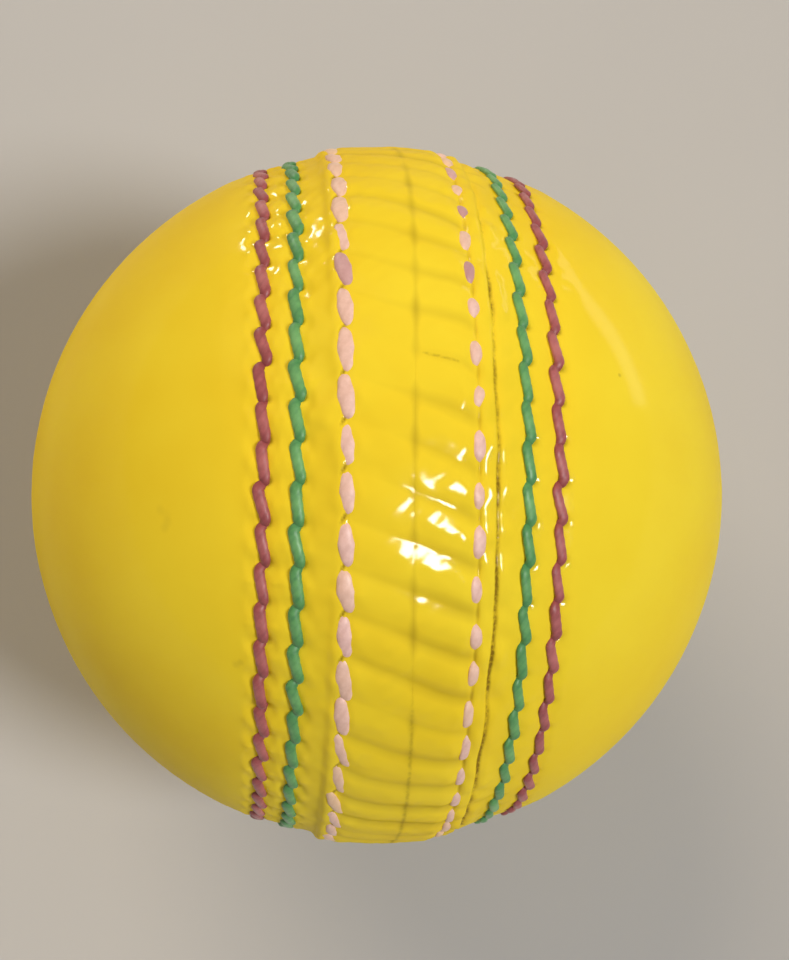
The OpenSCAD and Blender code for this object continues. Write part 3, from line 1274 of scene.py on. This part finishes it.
@dataclass(frozen=True)
class LacqueredLeather:
    """Dyed leather under a glossy lacquer, with painted shade and grime in its creases and a few specks and
    rubs.
    """

    dome_r: float
    name: str = "lacquered_yellow_leather"
    light: Colour = (0.885, 0.675, 0.032)
    deep: Colour = (0.845, 0.605, 0.022)
    # The colour of the painted shade and grime in creases, and of the dirt and painted shade in the crease
    # and the crack.
    grime: Colour = (0.16, 0.08, 0.006)
    speck: Colour = (0.3, 0.18, 0.02)
    grimy: Span = (0.1, 0.9)
    darkest: float = 0.85
    blemishes: tuple[Blemish, ...] = (
        Blemish(82.7, 19.3, 0.26, 0.4),
        Blemish(106.3, -21.5, 0.6, 0.08),
        Blemish(107.2, -20.95, 0.7, 0.06),
        Blemish(108.3, -20.8, 0.6, 0.08),
        Blemish(109.3, -21.1, 0.6, 0.09),
        Blemish(130.5, -14.9, 0.5, 0.14),
        Blemish(129.9, -14.5, 0.45, 0.17),
    )

    def material(self) -> Material:
        """Makes the material.

        Returns:
            The material.
        """
        bench = NodeBench(self.name)
        clouds = bench.blotches(per_metre=55.0, low=0.0, high=1.0, detail=4.0, ends=(0.35, 0.65))
        dyed = bench.mix(clouds, self.light, self.deep)
        specks = bench.fit(bench.cells(per_metre=150.0), (0.02, 0.035), low=0.55, high=0.0)
        chosen = bench.blotches(per_metre=90.0, low=0.0, high=1.0, ends=(0.56, 0.6))
        specked = bench.mix(bench.product(specks, chosen), dyed, self.speck)
        # Painted shade and grime darken the fold valleys, the slits, the grooves along the rows and a soft
        # band beside the parting line.
        grimy = bench.fit(bench.mark("grime"), self.grimy, low=0.0, high=self.darkest)
        shaded = bench.mix(grimy, specked, self.grime)
        patches = bench.blotches(per_metre=2400.0, low=0.6, high=1.3, ends=(0.35, 0.65))
        # Dirt darkens the crack and the parting line, and painted shade and dirt darken the crease.
        dirt = bench.product(bench.mark("dirt"), patches)
        dirty = bench.fit(dirt, self.grimy, low=0.0, high=self.darkest)
        coloured = bench.mix(dirty, shaded, self.grime)
        for spot in self.blemishes:
            coloured = bench.mix(spot.share(bench, self.dome_r), coloured, self.speck)
        rubs = bench.blotches(per_metre=420.0, low=0.2, high=0.34, detail=5.0, ends=(0.4, 0.7))
        lacquer = {
            "Normal": bench.bump(bench.cells(per_metre=2600.0), strength=0.06, depth=0.02),
            "Specular IOR Level": 0.0,
            "Coat Weight": 0.2,
            "Coat Roughness": 0.11,
            "Coat IOR": 1.8,
        }
        return bench.finished(coloured, rubs, lacquer)


@dataclass(frozen=True)
class WaxedThread:
    """Dyed and waxed sewing thread, with painted shade between its plies, and stitches that differ in tint.
    """

    name: str
    colour: Colour
    shade: Colour
    # The colours that positive and negative tints mix towards: on the pink thread its stains and lacquer
    # smears, on the row threads a random tone with the painted highlight and painted shade.
    stain: Colour
    smear: Colour

    def material(self) -> Material:
        """Makes the material.

        Returns:
            The material.
        """
        bench = NodeBench(self.name)
        fibres = bench.blotches(per_metre=2400.0, low=0.0, high=0.5, detail=3.0)
        spun = bench.mix(fibres, self.colour, self.shade)
        # Painted shade between the plies.
        between = bench.fit(bench.mark("groove"), (0.55, 1.0), low=0.0, high=0.4)
        plied = bench.mix(between, spun, self.shade)
        tint = bench.mark("tint")
        # On the row threads, negative tints give painted shade at the stitch ends and positive ones a
        # painted highlight in the middles.
        smeared = bench.mix(bench.fit(tint, (0.0, -1.0), low=0.0, high=1.0), plied, self.smear)
        stained = bench.mix(bench.fit(tint, (0.0, 1.0), low=0.0, high=1.0), smeared, self.stain)
        waxing = bench.blotches(per_metre=900.0, low=0.42, high=0.62)
        fuzz = bench.bump(bench.noise(per_metre=5200.0, detail=4.0), strength=0.35, depth=0.05)
        return bench.finished(stained, waxing, {"Normal": fuzz, "Sheen Weight": 0.15})


@dataclass(frozen=True)
class RawLeather:
    """Undyed, matt leather."""

    name: str = "undyed_lining_leather"
    light: Colour = (0.52, 0.36, 0.18)
    deep: Colour = (0.4, 0.26, 0.12)

    def material(self) -> Material:
        """Makes the material.

        Returns:
            The material.
        """
        bench = NodeBench(self.name)
        clouds = bench.blotches(per_metre=160.0, low=0.0, high=1.0, detail=4.0)
        matt = bench.blotches(per_metre=700.0, low=0.6, high=0.8)
        pores = bench.bump(bench.cells(per_metre=1800.0), strength=0.4, depth=0.06)
        return bench.finished(bench.mix(clouds, self.light, self.deep), matt, {"Normal": pores})


@dataclass(frozen=True)
class GranulatedCork:
    """Cork of pressed granules, each with its own tone."""

    name: str = "granulated_cork"
    light: Colour = (0.42, 0.24, 0.11)
    deep: Colour = (0.2, 0.1, 0.045)
    granules_per_metre: float = 700.0

    def material(self) -> Material:
        """Makes the material.

        Returns:
            The material.
        """
        bench = NodeBench(self.name)
        tone = bench.fit(bench.cells(self.granules_per_metre, "Color"), (0.2, 0.8), low=0.0, high=1.0)
        dull = bench.blotches(per_metre=1500.0, low=0.75, high=0.9)
        pores = bench.bump(bench.cells(self.granules_per_metre), strength=0.6, depth=0.12)
        return bench.finished(bench.mix(tone, self.light, self.deep), dull, {"Normal": pores})


@dataclass(frozen=True)
class WoundTwine:
    """Twine or linen thread, wound or laid in fine turns."""

    name: str
    light: Colour
    deep: Colour
    turns_per_metre: float

    def material(self) -> Material:
        """Makes the material.

        Returns:
            The material.
        """
        bench = NodeBench(self.name)
        inputs = {"Vector": bench.where, "Scale": self.turns_per_metre, "Distortion": 1.5, "Detail": 2.0}
        turns = bench.add("ShaderNodeTexWave", inputs, bands_direction="DIAGONAL").outputs["Fac"]
        ridges = bench.bump(turns, strength=0.6, depth=0.15)
        fluff = bench.blotches(per_metre=3000.0, low=0.75, high=0.95)
        return bench.finished(bench.mix(turns, self.deep, self.light), fluff, {"Normal": ridges})


@dataclass(frozen=True)
class FloorPaint:
    """The plain pale floor."""

    name: str = "pale_floor"
    light: Colour = (0.48, 0.47, 0.46)
    deep: Colour = (0.455, 0.445, 0.435)

    def material(self) -> Material:
        """Makes the material.

        Returns:
            The material.
        """
        bench = NodeBench(self.name)
        clouds = bench.blotches(per_metre=8.0, low=0.0, high=1.0, detail=3.0)
        matt = bench.blotches(per_metre=120.0, low=0.85, high=0.95)
        return bench.finished(bench.mix(clouds, self.light, self.deep), matt, {"Specular IOR Level": 0.0})


@dataclass
class WoundCore:
    """What the leather hides: the core's layers, the lining strips and the bobbin threads."""

    layers: tuple[tuple[GranulatedCork | WoundTwine | RawLeather, tuple[str, ...]], ...] = (
        (GranulatedCork(), ("cork_core", "inner_cork_layer", "outer_cork_layer")),
        (
            WoundTwine("wound_twine", (0.66, 0.56, 0.38), (0.42, 0.33, 0.2), turns_per_metre=260.0),
            ("inner_winding", "middle_winding", "outer_winding"),
        ),
        (RawLeather(), ("left_welt", "right_welt")),
        (
            WoundTwine("linen_thread", (0.78, 0.72, 0.6), (0.55, 0.49, 0.38), turns_per_metre=900.0),
            tuple(f"{side.word}_{row}_row_bobbin_thread" for row in ("middle", "outer") for side in Side),
        ),
    )

    def dress(self) -> None:
        """Gives every inner node its finish."""
        for finish, nodes in self.layers:
            material = finish.material()
            for node in nodes:
                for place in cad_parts[node].material_slots:
                    place.material = material
                LOG.info("%s: %s", node, material.name)


@dataclass(frozen=True)
class PhotoView:
    """Where the camera stood, worked out from the ball's outline and its rows of stitches."""

    image_px: tuple[int, int] = (789, 960)
    centre_px: Span = (377.5, 494.4)
    radius_px: float = 345.2
    distance_in_radii: float = 4.574
    axis_lean: float = math.radians(-5.67)
    axis_roll: float = math.radians(-0.26)
    elevation: float = math.radians(76.5)
    sensor: float = 36.0

    @property
    def focal_px(self) -> float:
        """The focal length in pixels."""
        return self.radius_px / math.tan(math.asin(1.0 / self.distance_in_radii))

    def seam_axes(self) -> Array:
        """The seam axis, the way towards the viewer and the way up the image, as columns."""
        rise, run = math.sin(self.elevation), math.cos(self.elevation)
        return np.array([[1.0, 0.0, 0.0], [0.0, -run, rise], [0.0, rise, run]]).T

    def pose(self, ball_r: float) -> Matrix:
        """The camera's place and turn.

        Args:
            ball_r: The ball's radius in metres.

        Returns:
            The camera's matrix in the model's frame.
        """
        width, height = self.image_px
        aside = (self.centre_px[0] - width / 2) / self.focal_px
        below = (self.centre_px[1] - height / 2) / self.focal_px
        ball = np.array([aside, -below, -1.0])
        ball *= self.distance_in_radii / np.linalg.norm(ball)
        flat = math.cos(self.axis_lean)
        turned = flat * math.cos(self.axis_roll), flat * math.sin(self.axis_roll)
        axis = np.array([*turned, math.sin(self.axis_lean)])
        back = -ball / np.linalg.norm(ball)
        facing = back - axis * (back @ axis)
        facing /= np.linalg.norm(facing)
        seen = np.stack([axis, facing, -np.cross(axis, facing)], axis=1)
        turn = self.seam_axes() @ seen.T
        pose = np.eye(4)
        pose[:3, :3] = turn
        pose[:3, 3] = turn @ -ball * ball_r
        return Matrix(pose.tolist())


@dataclass(frozen=True)
class Lamp:
    """A soft lamp, which either lights matt surfaces or shows in glossy ones.

    It stands right, up and near as seen in the photograph. Its reach and its size are in metres.
    """

    name: str
    right: float
    up: float
    near: float
    reach: float
    size: Span
    watts: float
    tint: Colour = (1.0, 1.0, 1.0)
    lights_matt: bool = False

    def light(self) -> bpy.types.Light:
        """Makes the light itself. One for matt surfaces is far off, so that it lights the floor evenly.

        Returns:
            The light.
        """
        width, height = self.size
        if self.lights_matt:
            light = bpy.data.lights.new(self.name, "SUN")
            light.angle = 2 * math.atan(width / 2 / self.reach)
            light.energy = self.watts / (math.pi * self.reach**2)
        else:
            light = bpy.data.lights.new(self.name, "AREA")
            light.shape = "RECTANGLE"
            light.size = width
            light.size_y = height
            light.energy = self.watts
        light.color = self.tint
        return light


@dataclass
class Studio:
    """The floor, the lamps and the camera around the ball."""

    ball: BallSize
    view: PhotoView
    floor_half: float = 4.0
    nearest_seen: float = 0.01
    sky: Colour = (1.0, 0.93, 0.84)
    sky_strength: float = 0.24
    # Each lamp's name, the way to it, its reach, its size and its watts.
    lamps: tuple[Lamp, ...] = (
        Lamp("key", 0.54, -0.07, 0.84, 0.9, (0.28, 0.2), 5.3, lights_matt=True),
        Lamp("fill", -0.44, 0.77, 0.45, 0.9, (0.7, 0.7), 4.4, (1.0, 0.83, 0.6), lights_matt=True),
        Lamp("glint", 0.29, -0.07, 0.95, 0.9, (0.24, 0.15), 7.2),
        Lamp("sparkle", -0.36, 0.93, -0.17, 0.7, (0.09, 0.06), 0.75),
        Lamp("strip", 0.74, 0.6, -0.1, 0.8, (0.6, 0.09), 0.36),
    )

    def lay_floor(self) -> None:
        """Puts a pale floor under the ball."""
        half = self.floor_half
        level = -self.ball.band_r * MM
        corners = [(-half, -half, level), (half, -half, level), (half, half, level), (-half, half, level)]
        mesh = bpy.data.meshes.new("floor")
        mesh.from_pydata(corners, [], [(0, 1, 2, 3)])
        mesh.materials.append(FloorPaint().material())
        floor = linked("floor", mesh)

    def hang(self, lamp: Lamp) -> None:
        """Hangs a lamp so that it faces the ball.

        Args:
            lamp: The lamp.
        """
        towards = self.view.seam_axes() @ np.array([lamp.right, lamp.near, lamp.up])
        direction = Vector(towards.tolist()).normalized()
        hung = linked(lamp.name, lamp.light())
        hung.location = direction * lamp.reach
        hung.rotation_euler = direction.to_track_quat("Z", "Y").to_euler()
        hung.visible_camera = False
        hung.visible_glossy = not lamp.lights_matt
        hung.visible_diffuse = lamp.lights_matt

    def light(self) -> None:
        """Hangs the lamps and sets a soft sky."""
        for lamp in self.lamps:
            self.hang(lamp)
        world = bpy.data.worlds.new("sky")
        world.use_nodes = True
        background = world.node_tree.nodes["Background"]
        background.inputs["Color"].default_value = (*self.sky, 1.0)
        background.inputs["Strength"].default_value = self.sky_strength
        bpy.context.scene.world = world

    def set_camera(self) -> None:
        """Puts the camera where the photograph was taken from."""
        lens = bpy.data.cameras.new("camera")
        lens.sensor_width = self.view.sensor
        lens.lens = self.view.focal_px / max(self.view.image_px) * self.view.sensor
        lens.clip_start = self.nearest_seen
        camera = linked("camera", lens)
        camera.matrix_world = self.view.pose(self.ball.dome_r * MM)
        bpy.context.scene.camera = camera
        bpy.context.scene.view_settings.view_transform = "Standard"


@dataclass
class Stitching:
    """The four machine-sewn rows and the two closing threads, with their finishes."""

    plan: RowPlan
    thread: TwistedThread
    floss: TwistedThread
    # The row threads' tints give each stitch its tone, with painted shade at the ends and a painted
    # highlight in the middle.
    green: WaxedThread = WaxedThread(
        "green_waxed_thread",
        colour=(0.115, 0.345, 0.105),
        shade=(0.03, 0.17, 0.06),
        stain=(0.21, 0.48, 0.17),
        smear=(0.045, 0.22, 0.07),
    )
    maroon: WaxedThread = WaxedThread(
        "maroon_waxed_thread",
        colour=(0.4, 0.098, 0.105),
        shade=(0.19, 0.03, 0.035),
        stain=(0.54, 0.18, 0.17),
        smear=(0.25, 0.04, 0.045),
    )
    pink: WaxedThread = WaxedThread(
        "pink_waxed_thread",
        colour=(0.86, 0.57, 0.55),
        shade=(0.66, 0.38, 0.35),
        stain=(0.36, 0.15, 0.18),
        smear=(0.86, 0.6, 0.12),
    )

    def build(self) -> None:
        """Sews the rows, and then the closing threads."""
        kinds = ("middle", Slot.GREEN, self.green.material()), ("outer", Slot.MAROON, self.maroon.material())
        for side in Side:
            for row, (kind, slot, finish) in zip(self.plan.rows(side)[1:], kinds):
                route = LockStitchRow(row).route()
                self.thread.build(f"{side.word}_{kind}_row_thread", route, slot, finish)
        pink = self.pink.material()
        for order, word in enumerate(("first", "second")):
            route = ClosingThread(order, self.plan).route()
            self.floss.build(f"{word}_closing_thread", route, Slot.PINK, pink)


def main() -> None:
    """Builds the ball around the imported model, dresses it and sets up the studio."""
    logging.basicConfig(level=logging.INFO, format="%(name)s: %(message)s")
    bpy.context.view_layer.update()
    ball = BallSize.from_frame()
    plan = RowPlan(ball.dome_r)
    relief = LeatherRelief(ball, plan)
    leather = LacqueredLeather(ball.dome_r).material()
    for side in Side:
        LeatherHalf(side, relief).build(leather)
    floss = TwistedThread(relief, ply_depth=0.015, lay=5.2, flatness=0.42)
    Stitching(plan, TwistedThread(relief), floss).build()
    WoundCore().dress()
    studio = Studio(ball, PhotoView())
    studio.lay_floor()
    studio.light()
    studio.set_camera()


if __name__ == "__main__":
    main()
